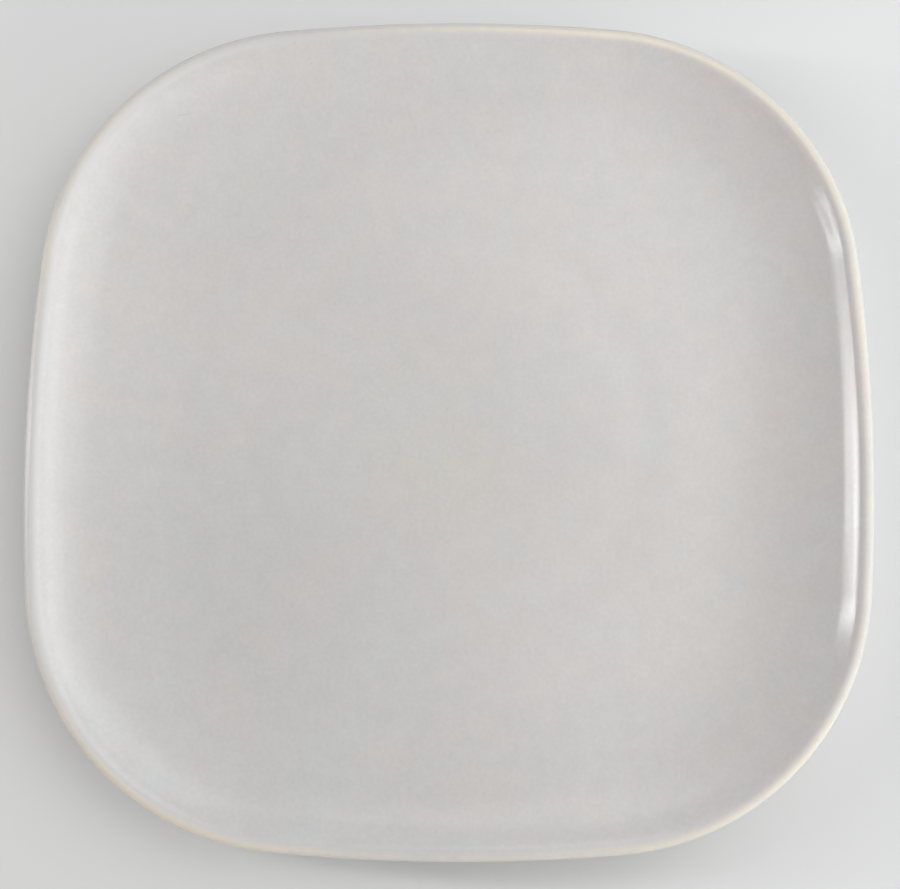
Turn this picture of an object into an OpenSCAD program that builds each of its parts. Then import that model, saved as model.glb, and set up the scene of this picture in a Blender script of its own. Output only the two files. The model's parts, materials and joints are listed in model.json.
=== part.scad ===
// Rounded-square coupe salad plate: a stoneware body with a round foot ring,
// coated with glaze on its face, on its back and inside its foot.
// Millimetres, +Z up. The origin is on the table, under the middle of the plate.

/* [Outline] */
// Width across the flats, over the glaze
plate_w = 200; // [180:1:228]
// Plan radius of the four corners, met to the nearest tenth or so
corner_r = 64; // [58:1:76]
// Straightness of the four sides: a larger number bows them less
side_straightness = 22; // [14:1:32]

/* [Section] */
// Thickness of the clay floor
floor_t = 4.8; // [4:0.1:6]
// Radius of the slow rise round the floor
rise_r = 110; // [80:1:135]
// Slope at which the slow rise meets the tighter curl
rise_angle = 15; // [12:0.5:19]
// Radius of the curl below the lip
curl_r = 14.5; // [10:0.5:20]
// Slope at which the curl meets the rolled lip
curl_angle = 46; // [36:1:60]
// Thickness of the rolled lip
lip_t = 3.8; // [3.2:0.1:4.6]
// Half the angle round the lip's crest over which the clay is bare
crest_angle = 25; // [12:1:32]

/* [Foot] */
// Diameter of the middle of the foot's contact ring
foot_d = 96; // [74:1:104]
// Width of the foot where it meets the table
foot_w = 4; // [3:0.1:6]
// Height of the foot, from the table to the clay underside
foot_h = 4; // [3:0.1:6]
// Slope of the foot's two walls from upright
foot_draft = 12; // [4:1:18]
// Rounding of the foot's two lower edges
foot_edge_r = 0.8; // [0.3:0.1:1.3]
// Flat ring of the back round the foot's root
foot_flat_w = 2.6; // [1.6:0.1:5]
// Height of the dry band at the bottom of the foot
dry_h = 1.5; // [1.4:0.1:2.2]

/* [Glaze] */
// Thickness of the glaze
glaze_t = 0.3; // [0.15:0.05:0.5]
// Thickness of the glaze where it runs out at the lip's crest
glaze_edge_t = 0.08; // [0.04:0.01:0.14]

/* [Hidden] */

// Steps along each arc of the section
RISE_STEPS = 8;
CURL_STEPS = 7;
LIP_STEPS = 3;
CREST_STEPS = 4;
LIP_BACK_STEPS = 5;
EDGE_STEPS = 4;

// Facets of round shapes in previews: fine enough for the thin coats to meet from arc to arc
$fa = 0.5;
$fs = 2;

// How far the foot is rooted in the floor, and the flat middle laps over what surrounds it
FOOT_ROOT = 1;
MIDDLE_LAP = 1;

CLAY_COLOUR = [0.84, 0.78, 0.67];
GLAZE_COLOUR = [0.79, 0.77, 0.765];

// Outline: four side arcs and four corner arcs, each tangent to the next.
// A side arc's centre, a corner's centre and the point where the two arcs meet lie in line,
// on the long side of a right triangle with sides s, (s^2 - 1) / 2 and (s^2 + 1) / 2.
// The triangle's unit is a whole hundredth of a millimetre, so the arcs meet exactly.
UNIT_STEPS = 100;
half_w = plate_w / 2;
s = side_straightness;
unit = round((half_w - corner_r) / (s + 1) * UNIT_STEPS) / UNIT_STEPS;
outline_corner_r = half_w - (s + 1) * unit;
corner_at = s * unit;
side_to_corner = (s * s + 1) / 2 * unit;
side_at = corner_at - (s * s - 1) / 2 * unit;
meeting_line = [(s * s - 1) / 2, s];

// Foot: its walls lean away from the middle of its ring, and their glaze is measured level.
foot_r = foot_d / 2;
wall_glaze = glaze_t / cos(foot_draft);
flat_glaze_z = foot_h - glaze_t;
function foot_half(z) = foot_w / 2 + z * tan(foot_draft);
foot_root_r = foot_r + foot_half(foot_h) + wall_glaze;
foot_flange_r = foot_root_r + foot_flat_w / 2;

// Section: u runs inwards from the outline and z runs up from the table.
// Its arcs are drawn by the slope of the surface, from level at the floor to the lip.
lip_r = lip_t / 2;
floor_z = foot_h + floor_t;
function facing(slope) = [sin(slope), cos(slope)];
curl_centre = [
    glaze_t + lip_r + (curl_r + lip_r) * sin(curl_angle),
    floor_z + rise_r - (rise_r - curl_r) * cos(rise_angle)
];
lip_centre = curl_centre - (curl_r + lip_r) * facing(curl_angle);
rise_centre = curl_centre + (rise_r - curl_r) * facing(rise_angle);

// The back rises from the flat ring round the foot, tangent to the back of the curl.
back_curl_r = curl_r + lip_t;
back_start = [half_w - foot_root_r - foot_flat_w, foot_h];
back_span = back_start - curl_centre;
back_rise_r = (back_span * back_span - back_curl_r ^ 2) / (-2 * (back_span.y + back_curl_r));
back_rise_centre = back_start + [0, back_rise_r];
back_angle = atan(back_span.x / (back_span.y + back_rise_r));
rim_z = lip_centre.y + lip_r;

// A section point is its place, its outward normal and the glaze on it.
// The normal is side times facing, and a hollow arc has a negative radius.
function between(from, to, i, steps) = from + (to - from) * i / steps;
function arc(centre, r, side, from, to, steps, glaze_from = glaze_t, glaze_to = glaze_t) =
    [for (i = [0 : steps])
        let (n = side * facing(between(from, to, i, steps)))
        [centre + r * n, n, between(glaze_from, glaze_to, i, steps)]];
function without_first(list) = [for (i = [1 : len(list) - 1]) list[i]];
function without_ends(list) = [for (i = [1 : len(list) - 2]) list[i]];
function backwards(list) = [for (i = [len(list) - 1 : -1 : 0]) list[i]];

// From the floor's edge out to the crest, over the crest, and from there under to the flat back.
face_line = concat(
    arc(rise_centre, -rise_r, 1, 0, rise_angle, RISE_STEPS),
    without_first(arc(curl_centre, -curl_r, 1, rise_angle, curl_angle, CURL_STEPS)),
    without_first(arc(lip_centre, lip_r, 1, curl_angle, crest_angle, LIP_STEPS, glaze_t, glaze_edge_t))
);
crest_line = arc(lip_centre, lip_r, 1, crest_angle, -crest_angle, CREST_STEPS);
back_line = concat(
    arc(lip_centre, lip_r, 1, -crest_angle, -90, LIP_STEPS, glaze_edge_t, glaze_t),
    without_first(arc(lip_centre, lip_r, 1, -90, curl_angle - 180, LIP_BACK_STEPS)),
    without_first(arc(curl_centre, back_curl_r, -1, curl_angle, back_angle, CURL_STEPS)),
    without_first(arc(back_rise_centre, back_rise_r, -1, back_angle, 0, RISE_STEPS))
);

function clay(line) = [for (p = line) p[0]];
function glazed(line) = [for (p = line) p[0] + p[2] * p[1]];

// One turned arc of the outline, cut to the wedge between its two meeting lines.
module outline_arc(centre, reach, section, wedge) {
    intersection() {
        translate(centre)
            rotate_extrude()
                translate([reach, 0])
                    polygon(section);
        linear_extrude(height = 2 * rim_z)
            polygon(wedge);
    }
}

// A solid with the given section line all round the outline and a flat middle from low to high.
module swept(line, low, high) {
    section = concat([[0, low], [0, high]], [for (p = line) [outline_corner_r - p.x, p.y]]);
    corner = [corner_at, corner_at];
    side_end = corner + meeting_line;
    corner_end = [side_end.y, side_end.x];
    side_wedge = [[corner.x, -corner.y], [side_end.x, -side_end.y], side_end, corner];
    corner_wedge = [corner, side_end, [side_end.x, side_end.x], corner_end];
    middle = 2 * (side_at + side_to_corner + MIDDLE_LAP);
    union() {
        for (quarter = [0, 90, 180, 270])
            rotate([0, 0, quarter]) {
                outline_arc([side_at, 0], side_to_corner, section, side_wedge);
                outline_arc(corner, 0, section, corner_wedge);
            }
        translate([-middle / 2, -middle / 2, low])
            cube([middle, middle, high - low]);
    }
}

// Points round one lower edge of the foot, on the outer (1) or inner (-1) side of the ring.
function foot_edge(side) =
    let (
        turn = 90 - foot_draft,
        reach = foot_edge_r * tan(turn / 2),
        centre = [foot_r + side * (foot_w / 2 - reach), foot_edge_r]
    )
    [for (i = [0 : EDGE_STEPS])
        let (a = between(0, turn, i, EDGE_STEPS))
        centre + foot_edge_r * [side * sin(a), -cos(a)]];

module foot_ring() {
    outer = foot_r + foot_half(foot_h);
    inner = foot_r - foot_half(foot_h);
    root_z = foot_h + FOOT_ROOT;
    top = [[outer, foot_h], [outer, root_z], [inner, root_z], [inner, foot_h]];
    rotate_extrude()
        polygon(concat(foot_edge(1), top, backwards(foot_edge(-1))));
}

// The fired clay: floor, rise, curl and rolled lip, with the foot ring below.
module clay_body() {
    color(CLAY_COLOUR)
        union() {
            swept(clay(concat(face_line, without_ends(crest_line), back_line)), foot_h, floor_z);
            foot_ring();
        }
}

// The coat on the eating face, out to the crest.
module face_glaze() {
    color(GLAZE_COLOUR)
        swept(concat(glazed(face_line), backwards(clay(face_line))), floor_z, floor_z + glaze_t);
}

// The coat on the back, from the crest in to the foot and down to its dry band.
module back_glaze() {
    color(GLAZE_COLOUR)
        union() {
            difference() {
                swept(concat(backwards(clay(back_line)), glazed(back_line)), flat_glaze_z, foot_h);
                translate([0, 0, dry_h])
                    cylinder(r = foot_flange_r, h = foot_h);
            }
            rotate_extrude()
                polygon([
                    [foot_r + foot_half(dry_h), dry_h],
                    [foot_r + foot_half(dry_h) + wall_glaze, dry_h],
                    [foot_r + foot_half(flat_glaze_z) + wall_glaze, flat_glaze_z],
                    [foot_flange_r, flat_glaze_z],
                    [foot_flange_r, foot_h],
                    [foot_r + foot_half(foot_h), foot_h]
                ]);
        }
}

// The coat inside the foot ring: its ceiling, and its wall down to the dry band.
module foot_recess_glaze() {
    color(GLAZE_COLOUR)
        rotate_extrude()
            polygon([
                [0, foot_h],
                [0, flat_glaze_z],
                [foot_r - foot_half(flat_glaze_z) - wall_glaze, flat_glaze_z],
                [foot_r - foot_half(dry_h) - wall_glaze, dry_h],
                [foot_r - foot_half(dry_h), dry_h],
                [foot_r - foot_half(foot_h), foot_h]
            ]);
}

clay_body();
face_glaze();
back_glaze();
foot_recess_glaze();
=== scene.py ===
"""Rounded-square salad plate: the looks of its clay and of its three coats of glaze.

Metres, +Z up. The origin is on the table, under the middle of the plate.
"""
import json
import math

import bmesh
import bpy
from bpy.props import FloatProperty, FloatVectorProperty, PointerProperty
from mathutils import Matrix, Vector

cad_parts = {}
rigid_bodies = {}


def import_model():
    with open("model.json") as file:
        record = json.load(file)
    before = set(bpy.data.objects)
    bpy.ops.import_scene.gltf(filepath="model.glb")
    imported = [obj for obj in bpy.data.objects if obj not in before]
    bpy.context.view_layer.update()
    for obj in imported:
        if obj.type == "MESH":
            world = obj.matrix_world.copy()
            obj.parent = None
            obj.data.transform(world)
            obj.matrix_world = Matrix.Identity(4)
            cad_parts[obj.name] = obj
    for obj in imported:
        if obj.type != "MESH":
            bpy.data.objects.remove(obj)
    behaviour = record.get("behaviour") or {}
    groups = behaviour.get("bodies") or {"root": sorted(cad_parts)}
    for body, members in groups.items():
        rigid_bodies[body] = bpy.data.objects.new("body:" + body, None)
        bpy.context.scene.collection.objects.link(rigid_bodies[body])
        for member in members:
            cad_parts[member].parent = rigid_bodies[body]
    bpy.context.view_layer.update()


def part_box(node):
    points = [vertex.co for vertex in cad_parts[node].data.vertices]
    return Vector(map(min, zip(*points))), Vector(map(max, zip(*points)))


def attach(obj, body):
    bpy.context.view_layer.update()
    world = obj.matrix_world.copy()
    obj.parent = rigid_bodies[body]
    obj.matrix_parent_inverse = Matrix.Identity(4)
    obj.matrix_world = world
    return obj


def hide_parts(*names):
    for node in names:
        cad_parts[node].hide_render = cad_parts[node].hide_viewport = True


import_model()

bl_info = {
    "name": "Salad Plate",
    "version": (1, 0, 0),
    "blender": (4, 5, 0),
    "location": "View3D > Sidebar > Plate",
    "description": "Models a rounded-square stoneware plate, its glaze and its studio",
    "category": "Add Mesh",
}

BODY = "root"

# Sizes that the frame gives
FACE_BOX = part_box("face_glaze")
BACK_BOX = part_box("back_glaze")
CLAY_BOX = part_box("clay_body")
RECESS_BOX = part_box("foot_recess_glaze")
HALF_WIDTH = BACK_BOX[1].x
GLAZE_T = BACK_BOX[1].x - CLAY_BOX[1].x
FLOOR_Z = FACE_BOX[0].z
FOOT_H = RECESS_BOX[1].z
DRY_H = RECESS_BOX[0].z

# Steps along the arcs of the section and of a quarter of the outline
RISE_STEPS = 14
CURL_FOOT_STEPS = 8
CURL_STEPS = 16
LIP_STEPS = 10
CREST_STEPS = 5
LIP_BACK_STEPS = 12
EDGE_STEPS = 6
FILLET_STEPS = 5
FLOOR_STEPS = 44
HALF_SIDE_STEPS = 18
CORNER_STEPS = 40
QUARTER_STEPS = 2 * HALF_SIDE_STEPS + CORNER_STEPS

# The outline's arcs meet on hundredths of a millimetre, as the solids' do
UNIT_DIGITS = 5
MERGE = 1e-6
LEVEL_TOLERANCE = 1e-5
QUARTER_TURN = math.pi / 2
SMOOTH_ANGLE = math.radians(35)

# Where the turned floor ends and the swept rise takes over
FLOOR_R = 0.058

# The mesh attribute that holds each point's distance inside the outline
INSET = "rim_inset"

# The rim's slow waves: their length, how far in they reach,
# and a level that keeps them in the frame's box
WARP = "Rim warp"
WARP_LENGTH = 0.055
WARP_WIDTH = 0.045
WARP_LEVEL = 1.4

# The cream line along the lip: its middle, half width and soft edge, inside the outline,
# and how much further in it lies for each metre to the back
CREAM_INSET = 0.00145
CREAM_HALF = 0.00025
CREAM_FADE = 0.00145
CREAM_LEAN = 0.004

# How strong the cream is: everywhere, in patches and in breaks, and the sum at which it is full,
# with the size of those patches and breaks
CREAM_BASE = 0.60
CREAM_PATCHES = 0.5
CREAM_BREAKS = 0.5
CREAM_FULL = 1.25
CREAM_PATCH_SIZE = 0.016
CREAM_BREAK_SIZE = 0.0022

# Slow waves of that strength round the rim, partly painted light: strongest on the upper right of the lip,
# where light falls on it, and weakest on the left, which lies in shade. How many, where one peaks, and how
# much they add
CREAM_WAVES_AND_PAINTED_LIGHT = (
    (1, math.radians(5), 0.17),
    (2, math.radians(62), 0.17),
    (4, math.radians(-38), 0.21),
    (5, math.radians(11), 0.17),
)

# Painted light: a paler band along the lip on the left, where it faces the light from the right. Its
# middle, half width and soft edge, and how far right it starts and is full
PAINTED_LIP_LIGHT_INSET = 0.0023
PAINTED_LIP_LIGHT_HALF = 0.0005
PAINTED_LIP_LIGHT_FADE = 0.0010
PAINTED_LIP_LIGHT_FROM = 0.03
PAINTED_LIP_LIGHT_FULL = -0.06

# Middle of the values of a noise
NOISE_MEAN = 0.5

# The glaze's slow drifts and smaller changes of tone: their size, and how far from its middle
# the noise is where the colour is full
DRIFT_SIZE = 0.045
DRIFT_FULL = 0.2
TONE_SIZE = 0.009
TONE_FULL = 0.25

# The glaze's mottle and grain: their size, and how much lighter or darker they make it
MOTTLE_SIZE = 0.005
MOTTLE_TONE = 0.090
GRAIN_SIZE = 0.0010
GRAIN_TONE = 0.135

# Where the glaze is a little warmer, how far out that reaches, the share of that where it is full,
# and the drift at which it starts and is full
WARM_MIDDLE = (-0.0045, -0.0020, 0.009)
WARM_REACH = 0.032
WARM_CORE = 1 / 5
WARM_DRIFT = (0.3, 0.6)

# A patch where the glaze is a little darker, towards the front left, and one where it is a little paler,
# towards the front right:
# the middle of each, how far out it reaches, and how much lighter it is there
DARKER_PATCH = (-0.052, -0.036, 0.009)
DARKER_PATCH_REACH = 0.062
DARKER_PATCH_TONE = -0.065
PALER_PATCH = (0.042, -0.062, 0.009)
PALER_PATCH_REACH = 0.058
PALER_PATCH_TONE = 0.06

# Fine iron specks: the size of the cells that may hold one, the share of a cell at which a speck's
# edge starts and ends, the chance at which it starts to show and is full, and its strength
SPECK_CELL = 0.0034
SPECK_EDGE = (0.070, 0.040)
SPECK_CHANCE = (0.90, 0.99)
SPECK_STRENGTH = 0.30

# Small marks from the kiln: a pit by the lip, a pale fleck on the floor, and a hairline between
# two points. The hairline's reach is how far round by its two ends a point of it lies.
PIT = (-0.0380, 0.0948, 0.0163)
PIT_RADIUS = 0.0008
PIT_STRENGTH = 0.22
FLECK = (0.0335, -0.0645, 0.0092)
FLECK_RADIUS = 0.0008
FLECK_STRENGTH = 0.5
HAIRLINE = ((-0.0674, 0.0774, 0.0128), (-0.0636, 0.0781, 0.0123))
HAIRLINE_SLACK = 0.00001
HAIRLINE_REACH = math.dist(*HAIRLINE) + HAIRLINE_SLACK
HAIRLINE_FADE = 0.00002
HAIRLINE_STRENGTH = 0.16

# The toasted line where the glaze ends on the foot: how far up the glaze and down the clay it fades,
# and how strong it is on each
GLAZE_TOAST_H = 0.0009
GLAZE_TOAST = 0.7
CLAY_TOAST_H = 0.0011
CLAY_TOAST = 0.6

# The glaze's surface: clouds of gloss, fine orange peel and how strongly it bends light
CLOUD_SIZE = 0.009
CLOUD_ROUGHNESS = 0.06
PEEL_SIZE = 0.0024
PEEL_DEPTH = 0.000012
GLAZE_IOR = 1.52

# The clay's surface: toasted patches, sand, how much smoother it is where glaze seals it on the lip,
# and how strongly it bends light
PATCH_SIZE = 0.006
PATCH_FULL = 0.25
PATCH_TOAST = 0.35
SAND_SIZE = 0.0005
SAND_DEPTH = 0.00002
SAND_DARK = 0.9
SAND_TONE = 0.2
LIP_SMOOTHING = 0.45
CLAY_IOR = 1.5


def from_srgb(*levels):
    """A colour written in 0 to 255 screen levels, as the linear values that shaders take."""
    shares = [level / 255 for level in levels]
    return [s / 12.92 if s <= 0.04045 else ((s + 0.055) / 1.055) ** 2.4 for s in shares]


class PlateShape(bpy.types.PropertyGroup):
    """Sizes of the plate that the frame's boxes don't give."""

    width: FloatProperty(
        name="Width",
        description="Width across the flats that the arcs of the outline are worked out from",
        default=round(2 * HALF_WIDTH, 3),
        unit="LENGTH",
    )
    corner_radius: FloatProperty(
        name="Corner radius",
        description="Plan radius of the four corners",
        default=0.064,
        unit="LENGTH",
    )
    side_straightness: FloatProperty(
        name="Side straightness",
        description="A larger number bows the four sides less",
        default=22,
    )
    rise_radius: FloatProperty(
        name="Rise radius",
        description="Radius of the slow rise round the floor",
        default=0.110,
        unit="LENGTH",
    )
    rise_angle: FloatProperty(
        name="Rise angle",
        description="Slope at which the slow rise meets the curl",
        default=math.radians(15),
        subtype="ANGLE",
    )
    curl_radius: FloatProperty(
        name="Curl radius",
        description="Radius of the curl below the lip",
        default=0.0145,
        unit="LENGTH",
    )
    curl_angle: FloatProperty(
        name="Curl angle",
        description="Slope at which the curl meets the rolled lip",
        default=math.radians(46),
        subtype="ANGLE",
    )
    curl_foot_radius: FloatProperty(
        name="Curl foot radius",
        description="Radius in which the slow rise of the face turns up into the curl",
        default=0.045,
        unit="LENGTH",
    )
    curl_foot_start: FloatProperty(
        name="Curl foot start",
        description="Slope of the face where that turn starts",
        default=math.radians(12),
        subtype="ANGLE",
    )
    curl_foot_end: FloatProperty(
        name="Curl foot end",
        description="Slope of the face where that turn ends",
        default=math.radians(20),
        subtype="ANGLE",
    )
    lip_thickness: FloatProperty(
        name="Lip thickness",
        description="Thickness of the rolled lip",
        default=0.0038,
        unit="LENGTH",
    )
    crest_inset: FloatProperty(
        name="Crest inset",
        description="How far inside the outline the lip is highest",
        default=0.00175,
        unit="LENGTH",
    )
    shoulder_radius: FloatProperty(
        name="Shoulder radius",
        description="Radius of the lip inside its crest",
        default=0.0036,
        unit="LENGTH",
    )
    shoulder_angle: FloatProperty(
        name="Shoulder angle",
        description="Slope at which the lip's shoulder meets the curl on the face",
        default=math.radians(42),
        subtype="ANGLE",
    )
    face_edge_angle: FloatProperty(
        name="Face glaze edge",
        description="Slope of the lip where the face's glaze runs out, past the crest if negative",
        default=math.radians(-10),
        subtype="ANGLE",
    )
    back_edge_angle: FloatProperty(
        name="Back glaze edge",
        description="Slope of the lip where the back's glaze runs out",
        default=math.radians(-45),
        subtype="ANGLE",
    )
    glaze_edge: FloatProperty(
        name="Glaze edge",
        description="Thickness of the glaze where it runs out at the crest",
        default=0.00002,
        unit="LENGTH",
    )
    foot_diameter: FloatProperty(
        name="Foot diameter",
        description="Diameter of the middle of the foot's contact ring",
        default=0.096,
        unit="LENGTH",
    )
    foot_width: FloatProperty(
        name="Foot width",
        description="Width of the foot where it meets the table",
        default=0.004,
        unit="LENGTH",
    )
    foot_draft: FloatProperty(
        name="Foot draft",
        description="Slope of the foot's two walls from upright",
        default=math.radians(12),
        subtype="ANGLE",
    )
    foot_edge_radius: FloatProperty(
        name="Foot edge radius",
        description="Rounding of the foot's two lower edges",
        default=0.0008,
        unit="LENGTH",
    )
    foot_flat: FloatProperty(
        name="Foot flat",
        description="Flat ring of the back round the foot's root",
        default=0.0026,
        unit="LENGTH",
    )
    foot_fillet: FloatProperty(
        name="Foot fillet",
        description="Radius in which the glaze pools at the foot's root",
        default=0.0011,
        unit="LENGTH",
    )
    sag: FloatProperty(
        name="Floor sag",
        description="How far the floor sank inside the foot ring in the kiln",
        default=0.00026,
        unit="LENGTH",
    )
    hollow_depth: FloatProperty(
        name="Hollow depth",
        description="How deep a faint hollow runs round the floor, over the foot ring",
        default=0.00015,
        unit="LENGTH",
    )
    hollow_width: FloatProperty(
        name="Hollow width",
        description="How wide that hollow is to each side",
        default=0.0042,
        unit="LENGTH",
    )
    unevenness: FloatProperty(
        name="Unevenness",
        description="How far the rim strays up and down from a true plane",
        default=0.00022,
        unit="LENGTH",
    )


def facing(slope):
    """The direction (u, z) square to a surface of that slope."""
    return Vector((math.sin(slope), math.cos(slope)))


class SectionPoint:
    """A place on the clay, the direction out of it and the thickness of the glaze there."""

    def __init__(self, place, normal, glaze):
        self.place = place
        self.normal = normal
        self.glaze = glaze


def arc(centre, radius, side, start, end, steps, glaze=(GLAZE_T, GLAZE_T)):
    """Section points round an arc, by the slope of the surface. A hollow arc has a negative radius.

    The radius is the clay's under a full coat. Where the coat is thinner, its surface keeps to the arc.
    """
    points = []
    for i in range(steps + 1):
        share = i / steps
        normal = side * facing(start + (end - start) * share)
        thickness = glaze[0] + (glaze[1] - glaze[0]) * share
        place = centre + (radius + GLAZE_T - thickness) * normal
        points.append(SectionPoint(place, normal, thickness))
    return points


def clay(line):
    """The clay's surface along a section line."""
    return [p.place for p in line]


def glazed(line):
    """The glaze's surface along a section line."""
    return [p.place + p.glaze * p.normal for p in line]


class Section:
    """The plate's section: u runs inwards from the outline and z runs up from the table."""

    def __init__(self, shape):
        lip_r = shape.lip_thickness / 2
        lip_reach = shape.curl_radius + lip_r
        rise_reach = shape.rise_radius - shape.curl_radius
        curl_u = GLAZE_T + lip_r + lip_reach * math.sin(shape.curl_angle)
        curl_z = FLOOR_Z + shape.rise_radius - rise_reach * math.cos(shape.rise_angle)
        curl_at = Vector((curl_u, curl_z))
        self.lip_r = lip_r
        self.lip_at = curl_at - lip_reach * facing(shape.curl_angle)

        # The lip is rounder outside its crest than inside, where a wide shoulder runs on into the curl
        crest = Vector((shape.crest_inset, self.lip_at.y + lip_r))
        outer_r = shape.crest_inset - GLAZE_T
        outer_at = crest - Vector((0, shape.crest_inset))
        shoulder_r = shape.shoulder_radius - GLAZE_T
        shoulder_at = crest - Vector((0, shape.shoulder_radius))
        shoulder_end = shoulder_at + shoulder_r * facing(shape.shoulder_angle)

        # On the face the rise turns up into the curl in an arc of its own
        foot_from, foot_to = shape.curl_foot_start, shape.curl_foot_end
        rise_height = shape.rise_radius * (1 - math.cos(foot_from))
        foot_height = shape.curl_foot_radius * (math.cos(foot_from) - math.cos(foot_to))
        curl_height = shoulder_end.y - FLOOR_Z - rise_height - foot_height
        face_curl_r = curl_height / (math.cos(foot_to) - math.cos(shape.shoulder_angle))
        face_curl_at = shoulder_end + face_curl_r * facing(shape.shoulder_angle)
        curl_foot_at = face_curl_at + (shape.curl_foot_radius - face_curl_r) * facing(foot_to)
        rise_at = curl_foot_at + (shape.rise_radius - shape.curl_foot_radius) * facing(foot_from)

        self.foot_r = shape.foot_diameter / 2
        self.foot_w = shape.foot_width
        self.foot_draft = shape.foot_draft
        self.foot_edge_r = shape.foot_edge_radius
        self.foot_fillet = shape.foot_fillet
        self.wall_glaze = GLAZE_T / math.cos(shape.foot_draft)
        self.flat_z = FOOT_H - GLAZE_T
        self.sag = shape.sag
        self.hollow_depth = shape.hollow_depth
        self.hollow_width = shape.hollow_width

        # The back rises from the flat ring round the foot, tangent to the back of the curl
        root_r = self.foot_r + self.foot_half(FOOT_H) + self.wall_glaze
        back_curl_r = shape.curl_radius + shape.lip_thickness
        back_start = Vector((HALF_WIDTH - root_r - shape.foot_flat, FOOT_H))
        span = back_start - curl_at
        back_rise_r = (span.length_squared - back_curl_r**2) / (-2 * (span.y + back_curl_r))
        back_rise_at = back_start + Vector((0, back_rise_r))
        back_angle = math.atan(span.x / (span.y + back_rise_r))

        face_edge = shape.face_edge_angle
        back_edge = shape.back_edge_angle
        thinning = (GLAZE_T, shape.glaze_edge)
        thin = (shape.glaze_edge, shape.glaze_edge)
        upright = -math.pi / 2
        under = shape.curl_angle - math.pi
        self.face = (
            arc(rise_at, -shape.rise_radius, 1, 0, foot_from, RISE_STEPS)
            + arc(curl_foot_at, -shape.curl_foot_radius, 1, foot_from, foot_to, CURL_FOOT_STEPS)[1:]
            + arc(face_curl_at, -face_curl_r, 1, foot_to, shape.shoulder_angle, CURL_STEPS)[1:]
            + arc(shoulder_at, shoulder_r, 1, shape.shoulder_angle, 0, LIP_STEPS, thinning)[1:]
            + arc(outer_at, outer_r, 1, 0, face_edge, CREST_STEPS, thin)[1:]
        )
        self.crest = arc(outer_at, outer_r, 1, face_edge, back_edge, CREST_STEPS, thin)
        self.back = (
            arc(outer_at, outer_r, 1, back_edge, upright, LIP_STEPS, thinning[::-1])
            + arc(self.lip_at, lip_r, 1, upright, under, LIP_BACK_STEPS)
            + arc(curl_at, back_curl_r, -1, shape.curl_angle, back_angle, CURL_STEPS)[1:]
            + arc(back_rise_at, back_rise_r, -1, back_angle, 0, RISE_STEPS)[1:]
        )

    def foot_half(self, z):
        """Half the foot's width at a height."""
        return self.foot_w / 2 + z * math.tan(self.foot_draft)

    def foot_edge(self, side):
        """The rounded lower edge of the foot's outer (1) or inner (-1) side, from the wall to the table."""
        turn = math.pi / 2 - self.foot_draft
        reach = self.foot_edge_r * math.tan(turn / 2)
        centre = Vector((self.foot_r + side * (self.foot_w / 2 - reach), self.foot_edge_r))
        slopes = [turn * (1 - i / EDGE_STEPS) for i in range(EDGE_STEPS + 1)]
        return [centre + self.foot_edge_r * Vector((side * math.sin(a), -math.cos(a))) for a in slopes]

    def foot_coat(self, side):
        """The glaze on the foot's outer (1) or inner (-1) wall.

        Its line runs down the clay to the dry band, and up its own side to a fillet at the flat.
        """
        clay_root = self.foot_r + side * self.foot_half(FOOT_H)
        clay_foot = self.foot_r + side * self.foot_half(DRY_H)
        line = [Vector((clay_root, FOOT_H)), Vector((clay_foot, DRY_H))]
        line.append(Vector((clay_foot + side * self.wall_glaze, DRY_H)))
        turn = math.pi / 2 - self.foot_draft
        reach = self.foot_fillet * math.tan(turn / 2)
        root = self.foot_r + side * (self.foot_half(self.flat_z) + self.wall_glaze)
        centre = Vector((root + side * reach, self.flat_z - self.foot_fillet))
        for i in range(FILLET_STEPS + 1):
            a = turn * (1 - i / FILLET_STEPS)
            line.append(centre + self.foot_fillet * Vector((-side * math.sin(a), math.cos(a))))
        return line

    def level_disc(self, edge_r, z):
        """A line from a disc's edge to its middle: sunk inside the foot ring and hollowed over it."""
        line = []
        for i in range(FLOOR_STEPS + 1):
            r = edge_r * (1 - i / FLOOR_STEPS)
            sunk = self.sag * max(1 - (r / self.foot_r) ** 2, 0)
            off_ring = (r - self.foot_r) / self.hollow_width
            hollow = self.hollow_depth * math.exp(-off_ring * off_ring)
            at_edge = min((edge_r - r) / self.hollow_width, 1)
            line.append(Vector((r, z - sunk - hollow * at_edge)))
        return line


class Outline:
    """Four side arcs and four corner arcs, each tangent to the next."""

    def __init__(self, shape):
        s = shape.side_straightness
        unit = round((shape.width / 2 - shape.corner_radius) / (s + 1), UNIT_DIGITS)
        self.corner_r = HALF_WIDTH - (s + 1) * unit
        self.corner_at = s * unit
        self.side_to_corner = (s * s + 1) / 2 * unit
        self.side_at = self.corner_at - (s * s - 1) / 2 * unit
        self.half_side_angle = math.atan2(s, (s * s - 1) / 2)

    def quarter(self):
        """The centre, angle and steps of each arc of the quarter from +X round to +Y."""
        half_side = self.half_side_angle
        return [
            ((self.side_at, 0, 0), half_side, HALF_SIDE_STEPS),
            ((self.corner_at, self.corner_at, 0), QUARTER_TURN - 2 * half_side, CORNER_STEPS),
            ((0, self.side_at, 0), half_side, HALF_SIDE_STEPS),
        ]


def begin_piece(name):
    """A new object in edit mode, with nothing in it yet."""
    bpy.ops.object.select_all(action="DESELECT")
    bpy.ops.mesh.primitive_plane_add(size=GLAZE_T)
    piece = bpy.context.object
    piece.name = name
    piece.data.name = name
    bpy.ops.object.mode_set(mode="EDIT")
    bpy.ops.mesh.select_all(action="SELECT")
    bpy.ops.mesh.delete(type="VERT")
    return piece


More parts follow.
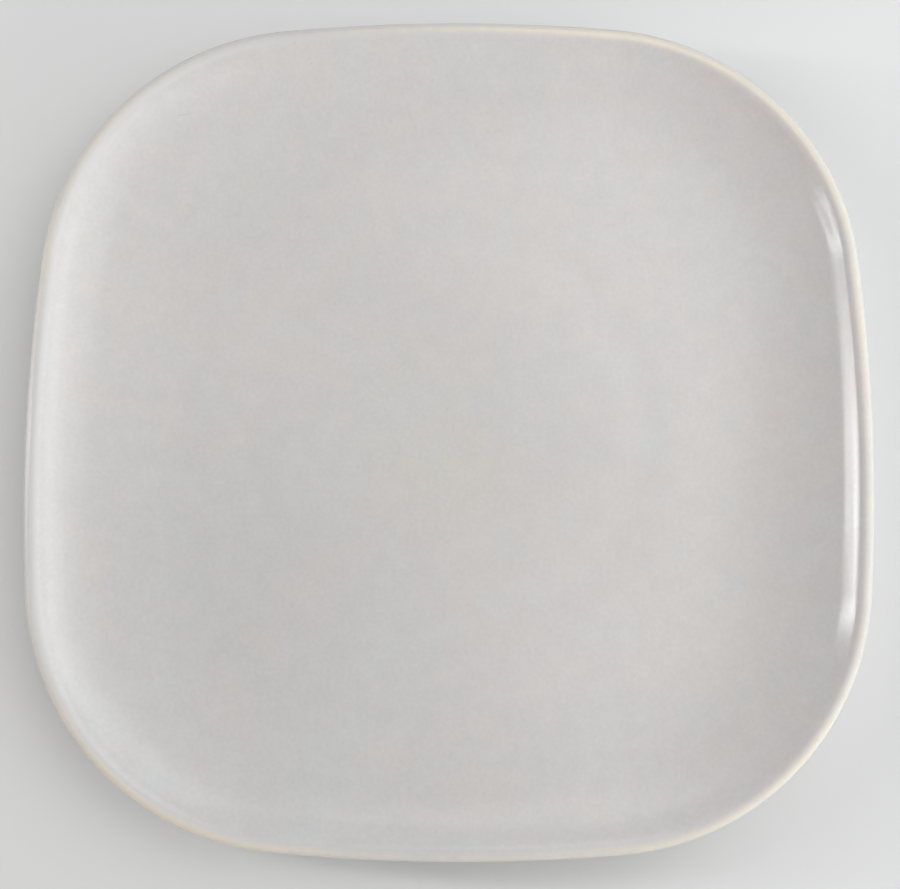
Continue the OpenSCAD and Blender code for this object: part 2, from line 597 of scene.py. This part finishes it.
def draw_line(points):
    """Draws a line in the XZ plane by extruding a vertex from point to point, and leaves it selected."""
    places = [Vector((p.x, 0, p.y)) for p in points]
    bpy.ops.mesh.select_all(action="DESELECT")
    bpy.ops.mesh.select_mode(type="VERT")
    bpy.ops.mesh.primitive_plane_add(size=GLAZE_T, location=places[0])
    bpy.ops.mesh.merge(type="CENTER")
    for here, there in zip(places, places[1:]):
        bpy.ops.mesh.extrude_region_move(TRANSFORM_OT_translate={"value": there - here})
    bpy.ops.mesh.select_linked()


def spin(centre, angle, steps):
    """Turns what is selected anticlockwise about an upright line, and leaves the far end selected."""
    bpy.ops.mesh.spin(steps=steps, angle=-angle, center=centre, axis=(0, 0, 1), use_auto_merge=False)


def sweep_section(outline, points):
    """Takes a section line, given in u and z, round a quarter of the outline."""
    draw_line([Vector((HALF_WIDTH - p.x, p.y)) for p in points])
    for centre, angle, steps in outline.quarter():
        spin(centre, angle, steps)


def turn_section(points):
    """Takes a line, given in radius and z, a quarter turn about the plate's middle."""
    draw_line(points)
    spin((0, 0, 0), QUARTER_TURN, QUARTER_STEPS)


def bridge_at(piece, z):
    """Joins the swept edge and the turned edge that lie open at one height."""
    bpy.ops.mesh.select_mode(type="EDGE")
    bpy.ops.mesh.select_all(action="DESELECT")
    mesh = bmesh.from_edit_mesh(piece.data)
    for edge in mesh.edges:
        a, b = (v.co for v in edge.verts)
        on_cut = max(abs(a.x), abs(b.x)) < MERGE or max(abs(a.y), abs(b.y)) < MERGE
        level = max(abs(a.z - z), abs(b.z - z)) < LEVEL_TOLERANCE
        edge.select_set(edge.is_boundary and level and not on_cut)
    bmesh.update_edit_mesh(piece.data)
    bpy.ops.mesh.bridge_edge_loops()


def rim_inset(outline, x, y):
    """How far inside the outline a point of the plan lies."""
    x, y = max(abs(x), abs(y)), min(abs(x), abs(y))
    if math.atan2(y, x - outline.side_at) > outline.half_side_angle:
        return outline.corner_r - math.hypot(x - outline.corner_at, y - outline.corner_at)
    return outline.corner_r + outline.side_to_corner - math.hypot(x - outline.side_at, y)


def note_inset(piece, outline):
    """Keeps each vertex's distance from the outline on the mesh, for the glaze to thin by."""
    insets = [rim_inset(outline, v.co.x, v.co.y) for v in piece.data.vertices]
    piece.data.attributes.new(INSET, "FLOAT", "POINT").data.foreach_set("value", insets)
    return insets


def warp_rim(piece, insets, amount):
    """Lets the rim stray a little up and down, as fired clay does, and keeps the foot level."""
    group = piece.vertex_groups.new(name="Rim")
    for index, inset in enumerate(insets):
        weight = 1 - min(max(inset / WARP_WIDTH, 0), 1)
        group.add([index], weight * weight, "REPLACE")
    clouds = bpy.data.textures.get(WARP) or bpy.data.textures.new(WARP, "CLOUDS")
    clouds.noise_scale = WARP_LENGTH
    clouds.noise_depth = 1
    warp = piece.modifiers.new(WARP, "DISPLACE")
    warp.texture = clouds
    warp.texture_coords = "LOCAL"
    warp.direction = "Z"
    warp.vertex_group = group.name
    warp.mid_level = WARP_LEVEL
    warp.strength = amount
    bpy.ops.object.modifier_apply(modifier=warp.name)
    piece.vertex_groups.clear()


def finish_piece(piece, outline, shape, node, material):
    """Mirrors the quarter into a whole, closes it, smooths it and hands it to the frame."""
    bpy.ops.object.mode_set(mode="OBJECT")
    four = piece.modifiers.new("Four quarters", "MIRROR")
    four.use_axis = (True, True, False)
    four.merge_threshold = MERGE
    bpy.ops.object.modifier_apply(modifier=four.name)
    bpy.ops.object.mode_set(mode="EDIT")
    bpy.ops.mesh.select_mode(type="VERT")
    bpy.ops.mesh.select_all(action="SELECT")
    bpy.ops.mesh.remove_doubles(threshold=MERGE)
    bpy.ops.mesh.normals_make_consistent(inside=False)
    bpy.ops.mesh.select_all(action="DESELECT")
    bpy.ops.object.mode_set(mode="OBJECT")
    warp_rim(piece, note_inset(piece, outline), shape.unevenness)
    bpy.ops.object.shade_smooth_by_angle(angle=SMOOTH_ANGLE)
    piece.data.materials.clear()
    piece.data.materials.append(material)
    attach(piece, BODY)
    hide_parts(node)


class Wire:
    """A shader socket that takes part in Python sums."""

    def __init__(self, graph, socket):
        self.graph = graph
        self.socket = socket

    def __add__(self, other):
        return self.graph.maths("ADD", self, other)

    __radd__ = __add__

    def __sub__(self, other):
        return self.graph.maths("SUBTRACT", self, other)

    def __rsub__(self, other):
        return self.graph.maths("SUBTRACT", other, self)

    def __mul__(self, other):
        return self.graph.maths("MULTIPLY", self, other)

    __rmul__ = __mul__

    def __abs__(self):
        return self.graph.maths("ABSOLUTE", self)


class Graph:
    """The nodes of a material or of the world, added as they are called for."""

    def __init__(self, owner):
        owner.use_nodes = True
        self.owner = owner
        self.tree = owner.node_tree
        self.tree.nodes.clear()

    def node(self, kind, settings=None, inputs=None, output=0):
        """Adds a node, sets it up, feeds its sockets and returns one of its outputs."""
        node = self.tree.nodes.new(kind)
        for name, value in (settings or {}).items():
            setattr(node, name, value)
        for name, value in (inputs or {}).items():
            if isinstance(value, Wire):
                self.tree.links.new(value.socket, node.inputs[name])
            else:
                node.inputs[name].default_value = value
        return Wire(self, node.outputs[output])

    def maths(self, operation, *values):
        return self.node("ShaderNodeMath", {"operation": operation}, dict(enumerate(values)))

    def place(self):
        """Object coordinates."""
        return self.node("ShaderNodeTexCoord", output="Object")

    def axis(self, vector, name):
        return self.node("ShaderNodeSeparateXYZ", inputs={"Vector": vector}, output=name)

    def attribute(self, name):
        return self.node("ShaderNodeAttribute", {"attribute_name": name}, output="Fac")

    def noise(self, vector, size, detail=2.0):
        """Soft random values of about 0.3 to 0.7, with patches of that size in metres."""
        inputs = {"Vector": vector, "Scale": 1 / size, "Detail": detail}
        return self.node("ShaderNodeTexNoise", inputs=inputs, output="Fac")

    def variation(self, vector, size, detail=2.0):
        """The same values, less their middle."""
        return self.noise(vector, size, detail) - NOISE_MEAN

    def cells(self, vector, size, output):
        """Random cells of that size in metres."""
        inputs = {"Vector": vector, "Scale": 1 / size}
        return self.node("ShaderNodeTexVoronoi", inputs=inputs, output=output)

    def step(self, value, low, high):
        """Rises smoothly from 0 at low to 1 at high, or falls if high is below low."""
        inputs = {"Value": value, "From Min": low, "From Max": high}
        return self.node("ShaderNodeMapRange", {"interpolation_type": "SMOOTHSTEP"}, inputs)

    def blend(self, factor, first, second):
        """A colour between two colours."""
        mix = {0: factor, 6: first, 7: second}
        return self.node("ShaderNodeMix", {"data_type": "RGBA"}, mix, output=2)

    def scaled(self, colour, factor):
        """A colour made lighter or darker."""
        settings = {"operation": "SCALE"}
        return self.node("ShaderNodeVectorMath", settings, {0: colour, "Scale": factor})

    def distance(self, vector, spot):
        """How far a place is from a spot."""
        return self.node("ShaderNodeVectorMath", {"operation": "DISTANCE"}, {0: vector, 1: spot}, "Value")

    def bump(self, height, depth):
        """A normal from heights of 0 to 1, of that depth in metres."""
        return self.node("ShaderNodeBump", inputs={"Height": height, "Distance": depth}, output="Normal")

    def seen(self):
        """1 for what the camera sees, straight or mirrored, and 0 for light that falls on things."""
        straight = self.node("ShaderNodeLightPath", output="Is Camera Ray")
        return straight + self.node("ShaderNodeLightPath", output="Is Glossy Ray")

    def surface(self, inputs):
        """A Principled shader."""
        return self.node("ShaderNodeBsdfPrincipled", inputs=inputs)

    def finish(self, shader, kind="ShaderNodeOutputMaterial"):
        """Ends the nodes in a shader, and returns the material or the world that they belong to."""
        end = self.tree.nodes.new(kind)
        self.tree.links.new(shader.socket, end.inputs["Surface"])
        return self.owner


class PlateFinish(bpy.types.PropertyGroup):
    """Colours and gloss of the glaze and the clay."""

    grey: FloatVectorProperty(
        name="Glaze grey",
        description="Colour of the glaze at its full thickness",
        size=4,
        subtype="COLOR",
        default=from_srgb(203, 199, 198) + [1],
    )
    warm: FloatVectorProperty(
        name="Warm drift",
        description="Colour that the glaze drifts to where it is warmest",
        size=4,
        subtype="COLOR",
        default=from_srgb(205, 200, 197) + [1],
    )
    cool: FloatVectorProperty(
        name="Cool drift",
        description="Colour that the glaze drifts to where it is coolest",
        size=4,
        subtype="COLOR",
        default=from_srgb(202, 201, 200) + [1],
    )
    middle: FloatVectorProperty(
        name="Warm middle",
        description="Colour of the glaze in the middle of the plate",
        size=4,
        subtype="COLOR",
        default=from_srgb(204, 200, 193) + [1],
    )
    cream: FloatVectorProperty(
        name="Lip cream",
        description="Colour of the clay through the last of the glaze on the lip",
        size=4,
        subtype="COLOR",
        default=from_srgb(224, 215, 199) + [1],
    )
    # painted light: this pale colour serves the fleck on the floor, and also lightens the lip on the left
    # side, where it faces the light from the right
    pale: FloatVectorProperty(
        name="Lip pale",
        description="Colour of the glaze where it is thin over the lip but no clay shows",
        size=4,
        subtype="COLOR",
        default=from_srgb(206, 204, 203) + [1],
    )
    buff: FloatVectorProperty(
        name="Dry clay",
        description="Colour of the bare clay under the foot",
        size=4,
        subtype="COLOR",
        default=from_srgb(206, 186, 154) + [1],
    )
    toast: FloatVectorProperty(
        name="Toasted clay",
        description="Colour of the clay and the glaze along the line where the glaze ends on the foot",
        size=4,
        subtype="COLOR",
        default=from_srgb(176, 142, 104) + [1],
    )
    speck: FloatVectorProperty(
        name="Specks",
        description="Colour of the fine iron specks in the glaze",
        size=4,
        subtype="COLOR",
        default=from_srgb(150, 138, 124) + [1],
    )
    gloss_roughness: FloatProperty(
        name="Glaze roughness",
        description="Roughness of the satin glaze",
        default=0.18,
        subtype="FACTOR",
    )
    clay_roughness: FloatProperty(
        name="Clay roughness",
        description="Roughness of the dry clay",
        default=0.85,
        subtype="FACTOR",
    )


def lip_band(graph, place, section, middle, half, fade):
    """A soft-edged band along the lip, above its middle, from 0 to 1."""
    lean = graph.axis(place, "Y") * CREAM_LEAN
    across = graph.step(abs(graph.attribute(INSET) - lean - middle), half + fade, half)
    above = graph.step(graph.axis(place, "Z"), section.lip_at.y, section.lip_at.y + section.lip_r / 2)
    return across * above


def cream_strength(graph, place):
    """How far the clay shows through the glaze round the lip, from 0 to 1, with painted light in its slow
    waves round the rim.
    """
    turn = graph.maths("ARCTAN2", graph.axis(place, "Y"), graph.axis(place, "X"))
    strength = CREAM_BASE + graph.variation(place, CREAM_PATCH_SIZE) * CREAM_PATCHES
    strength = strength + graph.variation(place, CREAM_BREAK_SIZE, detail=3) * CREAM_BREAKS
    # painted light in part: the waves make the cream strongest on the upper right of the lip, where light
    # falls, and weakest on the left, in shade
    for count, peak, amount in CREAM_WAVES_AND_PAINTED_LIGHT:
        strength = strength + graph.maths("COSINE", (turn - peak) * count) * amount
    return graph.step(strength, 0, CREAM_FULL)


def spot(graph, place, middle, radius, core=1 / 3):
    """A soft round spot, from 0 to 1, whose full core is that share of its radius."""
    return graph.step(graph.distance(place, middle), radius, radius * core)


def drifting(graph, noise, full, colour, finish):
    """A colour that turns warm where a noise is high and cool where it is low."""
    colour = graph.blend(graph.step(noise, NOISE_MEAN, NOISE_MEAN + full), colour, finish.warm)
    return graph.blend(graph.step(noise, NOISE_MEAN, NOISE_MEAN - full), colour, finish.cool)


def dark_marks(graph, place):
    """Iron specks, the pit and the hairline, by their strength."""
    cell = graph.cells(place, SPECK_CELL, "Distance")
    chance = graph.axis(graph.cells(place, SPECK_CELL, "Color"), "X")
    specks = graph.step(cell, *SPECK_EDGE) * graph.step(chance, *SPECK_CHANCE)
    pit = spot(graph, place, PIT, PIT_RADIUS)
    by_the_ends = graph.distance(place, HAIRLINE[0]) + graph.distance(place, HAIRLINE[1])
    hairline = graph.step(by_the_ends, HAIRLINE_REACH + HAIRLINE_FADE, HAIRLINE_REACH)
    return specks * SPECK_STRENGTH + pit * PIT_STRENGTH + hairline * HAIRLINE_STRENGTH


def glaze_colour(graph, place, finish, section):
    """The glaze's colour: drifts, a warm middle, mottle, kiln marks, the thin glaze of the lip and painted
    light on the lip.
    """
    drift = graph.noise(place, DRIFT_SIZE)
    colour = drifting(graph, drift, DRIFT_FULL, finish.grey, finish)
    middle = spot(graph, place, WARM_MIDDLE, WARM_REACH, WARM_CORE)
    colour = graph.blend(middle * graph.step(drift, *WARM_DRIFT), colour, finish.middle)
    colour = drifting(graph, graph.noise(place, TONE_SIZE, detail=3), TONE_FULL, colour, finish)
    mottle = graph.variation(place, MOTTLE_SIZE, detail=3) * MOTTLE_TONE
    grain = graph.variation(place, GRAIN_SIZE, detail=3) * GRAIN_TONE
    # a darker patch towards the front left and a paler one towards the front right
    darker_patch = spot(graph, place, DARKER_PATCH, DARKER_PATCH_REACH, 0) * DARKER_PATCH_TONE
    thin = spot(graph, place, PALER_PATCH, PALER_PATCH_REACH, 0) * PALER_PATCH_TONE
    colour = graph.scaled(colour, 1 + darker_patch + thin + mottle + grain)
    colour = graph.blend(dark_marks(graph, place), colour, finish.speck)
    fleck = spot(graph, place, FLECK, FLECK_RADIUS)
    colour = graph.blend(fleck * FLECK_STRENGTH, colour, finish.pale)
    # painted light: the lip is paler on the left side, where it faces the light from the right
    pale = lip_band(graph, place, section, PAINTED_LIP_LIGHT_INSET, PAINTED_LIP_LIGHT_HALF, PAINTED_LIP_LIGHT_FADE)
    pale = pale * graph.step(graph.axis(place, "X"), PAINTED_LIP_LIGHT_FROM, PAINTED_LIP_LIGHT_FULL)
    colour = graph.blend(pale, colour, finish.pale)
    cream = lip_band(graph, place, section, CREAM_INSET, CREAM_HALF, CREAM_FADE)
    return graph.blend(cream * cream_strength(graph, place), colour, finish.cream)


def glaze_material(finish, section):
    """Satin grey glaze, toasted along the line where it ends on the foot."""
    graph = Graph(bpy.data.materials.new("Satin grey glaze"))
    place = graph.place()
    toasted = graph.step(graph.axis(place, "Z"), DRY_H + GLAZE_TOAST_H, DRY_H)
    colour = glaze_colour(graph, place, finish, section)
    clouds = graph.variation(place, CLOUD_SIZE, detail=3)
    inputs = {
        "Base Color": graph.blend(toasted * GLAZE_TOAST, colour, finish.toast),
        "Roughness": finish.gloss_roughness + clouds * CLOUD_ROUGHNESS,
        "Normal": graph.bump(graph.noise(place, PEEL_SIZE), PEEL_DEPTH),
        "IOR": GLAZE_IOR,
    }
    return graph.finish(graph.surface(inputs))


def clay_material(finish, section):
    """Dry buff stoneware under the foot, sealed by the last of the glaze along the lip."""
    graph = Graph(bpy.data.materials.new("Buff stoneware clay"))
    place = graph.place()
    sand = graph.noise(place, SAND_SIZE, detail=4)
    patches = graph.step(graph.noise(place, PATCH_SIZE, detail=3), NOISE_MEAN, NOISE_MEAN + PATCH_FULL)
    height = graph.axis(place, "Z")
    on_lip = graph.step(height, section.lip_at.y - section.lip_r, section.lip_at.y)
    toasted = graph.step(height, DRY_H - CLAY_TOAST_H, DRY_H) * (1 - on_lip)
    colour = graph.blend(patches * PATCH_TOAST, finish.buff, finish.toast)
    colour = graph.blend(toasted * CLAY_TOAST, colour, finish.toast)
    colour = graph.scaled(colour, SAND_DARK + sand * SAND_TONE)
    inputs = {
        "Base Color": graph.blend(on_lip, colour, glaze_colour(graph, place, finish, section)),
        "Roughness": finish.clay_roughness - on_lip * LIP_SMOOTHING,
        "Normal": graph.bump(sand, SAND_DEPTH),
        "IOR": CLAY_IOR,
    }
    return graph.finish(graph.surface(inputs))


class PLATE_OT_clay_body(bpy.types.Operator):
    """Models the clay: the floor, the rise, the curl, the rolled lip and the foot ring"""

    bl_idname = "plate.clay_body"
    bl_label = "Clay Body"

    def execute(self, context):
        shape = context.scene.plate_shape
        section, outline = Section(shape), Outline(shape)
        piece = begin_piece("plate_clay")
        sweep_section(outline, clay(section.face + section.crest[1:-1] + section.back))
        turn_section(section.level_disc(FLOOR_R, FLOOR_Z))
        root = section.foot_r + section.foot_half(FOOT_H)
        ceiling_edge = section.foot_r - section.foot_half(FOOT_H)
        foot = [Vector((root, FOOT_H))] + section.foot_edge(1) + section.foot_edge(-1)[::-1]
        turn_section(foot + section.level_disc(ceiling_edge, FOOT_H))
        bridge_at(piece, FLOOR_Z)
        bridge_at(piece, FOOT_H)
        material = clay_material(context.scene.plate_finish, section)
        finish_piece(piece, outline, shape, "clay_body", material)
        return {"FINISHED"}


class PLATE_OT_face_glaze(bpy.types.Operator):
    """Models the coat on the eating face, out to the crest of the lip"""

    bl_idname = "plate.face_glaze"
    bl_label = "Face Glaze"

    def execute(self, context):
        shape = context.scene.plate_shape
        section, outline = Section(shape), Outline(shape)
        piece = begin_piece("plate_face_glaze")
        sweep_section(outline, glazed(section.face) + clay(section.face)[::-1])
        turn_section(section.level_disc(FLOOR_R, FLOOR_Z + GLAZE_T))
        turn_section(section.level_disc(FLOOR_R, FLOOR_Z))
        bridge_at(piece, FLOOR_Z + GLAZE_T)
        bridge_at(piece, FLOOR_Z)
        material = glaze_material(context.scene.plate_finish, section)
        finish_piece(piece, outline, shape, "face_glaze", material)
        return {"FINISHED"}


class PLATE_OT_back_glaze(bpy.types.Operator):
    """Models the coat on the back, from the lip in to the foot and down to its dry band"""

    bl_idname = "plate.back_glaze"
    bl_label = "Back Glaze"

    def execute(self, context):
        shape = context.scene.plate_shape
        section, outline = Section(shape), Outline(shape)
        piece = begin_piece("plate_back_glaze")
        sweep_section(outline, clay(section.back)[::-1] + glazed(section.back))
        turn_section(section.foot_coat(1))
        bridge_at(piece, FOOT_H)
        bridge_at(piece, section.flat_z)
        material = glaze_material(context.scene.plate_finish, section)
        finish_piece(piece, outline, shape, "back_glaze", material)
        return {"FINISHED"}


class PLATE_OT_foot_recess_glaze(bpy.types.Operator):
    """Models the coat inside the foot ring, down to its dry band"""

    bl_idname = "plate.foot_recess_glaze"
    bl_label = "Foot Recess Glaze"

    def execute(self, context):
        shape = context.scene.plate_shape
        section, outline = Section(shape), Outline(shape)
        piece = begin_piece("plate_foot_recess_glaze")
        coat = section.foot_coat(-1)
        under = section.level_disc(coat[-1].x, section.flat_z)
        over = section.level_disc(coat[0].x, FOOT_H)
        turn_section(over[::-1] + coat[1:-1] + under)
        material = glaze_material(context.scene.plate_finish, section)
        finish_piece(piece, outline, shape, "foot_recess_glaze", material)
        return {"FINISHED"}


class PlateStudio(bpy.types.PropertyGroup):
    """The camera, the floor and the light."""

    camera_place: FloatVectorProperty(
        name="Camera place",
        description="Where the camera is",
        size=3,
        subtype="TRANSLATION",
        unit="LENGTH",
        default=(0.00661, -0.04854, 0.31785),
    )
    camera_aim: FloatVectorProperty(
        name="Camera aim",
        description="The point in the middle of the picture",
        size=3,
        subtype="TRANSLATION",
        unit="LENGTH",
        default=(0.00086, -0.00528, 0.01706),
    )
    camera_roll: FloatProperty(
        name="Camera roll",
        description="Turn of the camera about its line of sight",
        default=math.radians(0.3),
        subtype="ANGLE",
    )
    lens: FloatProperty(
        name="Lens",
        description="Focal length in millimetres",
        default=51.9,
        unit="CAMERA",
    )
    floor: FloatVectorProperty(
        name="Floor",
        description="Colour of the floor",
        size=4,
        subtype="COLOR",
        default=from_srgb(226, 226, 225) + [1],
    )
    sky_strength: FloatProperty(
        name="Surroundings strength",
        description="Strength of the light from all round",
        default=0.2,
    )
    backdrop: FloatProperty(
        name="Backdrop",
        description="Brightness of the backdrop that the floor runs into, where 1 is white",
        default=0.78,
    )


# The floor's width and roughness, and how far from the plate's middle it starts to run into
# the backdrop and has
FLOOR_WIDTH = 6
FLOOR_ROUGHNESS = 0.9
FLOOR_CLEAR = 0.30
FLOOR_END = 0.60

# The camera's sensor in millimetres, and how near it sees
SENSOR_WIDTH = 36
NEAREST = 0.01

# Colours of the soft lights
PLAIN_LIGHT = (1, 1, 1)
COOL_LIGHT = (0.84, 0.96, 1)
WARM_LIGHT = (1, 0.94, 0.89)

# Each soft light's name, azimuth and elevation in degrees, distance, width and height in metres,
# power in watts, colour, and whether the glaze mirrors it
LIGHTS = [
    ("Right window", -20, 12, 1.0, 1.0, 0.35, 4.05, COOL_LIGHT, False),
    ("Back window", 35, 12, 1.0, 1.0, 0.35, 2.50, COOL_LIGHT, False),
    ("Front window", -60, 12, 1.0, 1.0, 0.35, 4.05, WARM_LIGHT, False),
    ("Right glint", 15, 12, 1.0, 2.0, 0.04, 0.95, PLAIN_LIGHT, True),
    ("Overhead softbox", 0, 60, 1.0, 1.2, 1.0, 2.35, PLAIN_LIGHT, True),
    ("Back softbox", 45, 55, 0.6, 0.6, 0.5, 0.90, PLAIN_LIGHT, True),
    ("Right softbox", 0, 40, 0.4, 0.4, 0.3, 0.22, PLAIN_LIGHT, True),
    ("Left strip, low", 174, 18, 1.0, 0.06, 0.14, 1.80, PLAIN_LIGHT, True),
    ("Left strip, middle", 171, 26, 1.0, 0.03, 0.14, 0.46, PLAIN_LIGHT, True),
    ("Left strip, high", 168, 38, 1.0, 0.03, 0.28, 0.70, PLAIN_LIGHT, True),
    ("Left card, front", 175, 39, 0.39, 0.03, 0.115, 0.078, PLAIN_LIGHT, True),
    ("Left card, low", 169, 35, 0.37, 0.03, 0.06, 0.046, PLAIN_LIGHT, True),
    ("Left card, high", 169, 51, 0.48, 0.03, 0.06, 0.044, PLAIN_LIGHT, True),
]


def add_light(name, azimuth, elevation, distance, width, height, power, colour, mirrored):
    """A soft rectangular light that faces the middle of the plate."""
    turn, lift = math.radians(azimuth), math.radians(elevation)
    towards = Vector((math.cos(lift) * math.cos(turn), math.cos(lift) * math.sin(turn), math.sin(lift)))
    bpy.ops.object.light_add(type="AREA", location=distance * towards)
    light = bpy.context.object
    light.name = name
    light.rotation_euler = towards.to_track_quat("Z", "Y").to_euler()
    light.data.shape = "RECTANGLE"
    light.data.size = width
    light.data.size_y = height
    light.data.energy = power
    light.data.color = colour
    light.visible_glossy = mirrored


def add_camera(studio):
    """The camera, where the photo was taken from."""
    place, aim = Vector(studio.camera_place), Vector(studio.camera_aim)
    back = (place - aim).normalized()
    right = Vector((0, 1, 0)).cross(back).normalized()
    turn = Matrix((right, back.cross(right), back)).transposed()
    turn = turn @ Matrix.Rotation(studio.camera_roll, 3, "Z")
    bpy.ops.object.camera_add(location=place, rotation=turn.to_euler())
    camera = bpy.context.object
    camera.data.lens = studio.lens
    camera.data.sensor_width = SENSOR_WIDTH
    camera.data.clip_start = NEAREST
    bpy.context.scene.camera = camera


def floor_material(studio):
    """A pale floor that runs into the backdrop further out."""
    graph = Graph(bpy.data.materials.new("Pale floor"))
    floor = graph.surface({"Base Color": studio.floor, "Roughness": FLOOR_ROUGHNESS})
    backdrop = graph.node("ShaderNodeEmission", inputs={"Strength": studio.backdrop})
    far = graph.step(graph.distance(graph.place(), (0, 0, 0)), FLOOR_CLEAR, FLOOR_END)
    mix = {0: far * graph.seen(), 1: floor, 2: backdrop}
    return graph.finish(graph.node("ShaderNodeMixShader", inputs=mix))


def surroundings(studio):
    """Even light from all round, behind a backdrop as bright as the end of the floor."""
    graph = Graph(bpy.data.worlds.new("Studio"))
    strength = studio.sky_strength + graph.seen() * (studio.backdrop - studio.sky_strength)
    light = graph.node("ShaderNodeBackground", inputs={"Color": (1, 1, 1, 1), "Strength": strength})
    return graph.finish(light, "ShaderNodeOutputWorld")


class PLATE_OT_stage(bpy.types.Operator):
    """Sets up the floor, the soft lights, the surroundings and the camera"""

    bl_idname = "plate.stage"
    bl_label = "Stage"

    def execute(self, context):
        studio = context.scene.plate_studio
        bpy.ops.object.select_all(action="DESELECT")
        bpy.ops.mesh.primitive_plane_add(size=FLOOR_WIDTH)
        floor = context.object
        floor.name = "floor"
        floor.data.materials.append(floor_material(studio))
        for light in LIGHTS:
            add_light(*light)
        add_camera(studio)
        context.scene.world = surroundings(studio)
        context.scene.view_settings.view_transform = "Standard"
        return {"FINISHED"}


OPERATORS = (
    PLATE_OT_clay_body,
    PLATE_OT_face_glaze,
    PLATE_OT_back_glaze,
    PLATE_OT_foot_recess_glaze,
    PLATE_OT_stage,
)


class PLATE_PT_panel(bpy.types.Panel):
    """Lists the plate's steps"""

    bl_label = "Salad Plate"
    bl_idname = "PLATE_PT_panel"
    bl_space_type = "VIEW_3D"
    bl_region_type = "UI"
    bl_category = "Plate"

    def draw(self, context):
        for operator in OPERATORS:
            self.layout.operator(operator.bl_idname)
        for group in (context.scene.plate_shape, context.scene.plate_finish, context.scene.plate_studio):
            box = self.layout.box()
            for name in group.__annotations__:
                box.prop(group, name)


CLASSES = (PlateShape, PlateFinish, PlateStudio) + OPERATORS + (PLATE_PT_panel,)


def register():
    for cls in CLASSES:
        bpy.utils.register_class(cls)
    bpy.types.Scene.plate_shape = PointerProperty(type=PlateShape)
    bpy.types.Scene.plate_finish = PointerProperty(type=PlateFinish)
    bpy.types.Scene.plate_studio = PointerProperty(type=PlateStudio)


def unregister():
    del bpy.types.Scene.plate_studio
    del bpy.types.Scene.plate_finish
    del bpy.types.Scene.plate_shape
    for cls in reversed(CLASSES):
        bpy.utils.unregister_class(cls)


def main():
    register()
    bpy.ops.plate.clay_body()
    bpy.ops.plate.face_glaze()
    bpy.ops.plate.back_glaze()
    bpy.ops.plate.foot_recess_glaze()
    bpy.ops.plate.stage()


if __name__ == "__main__":
    main()
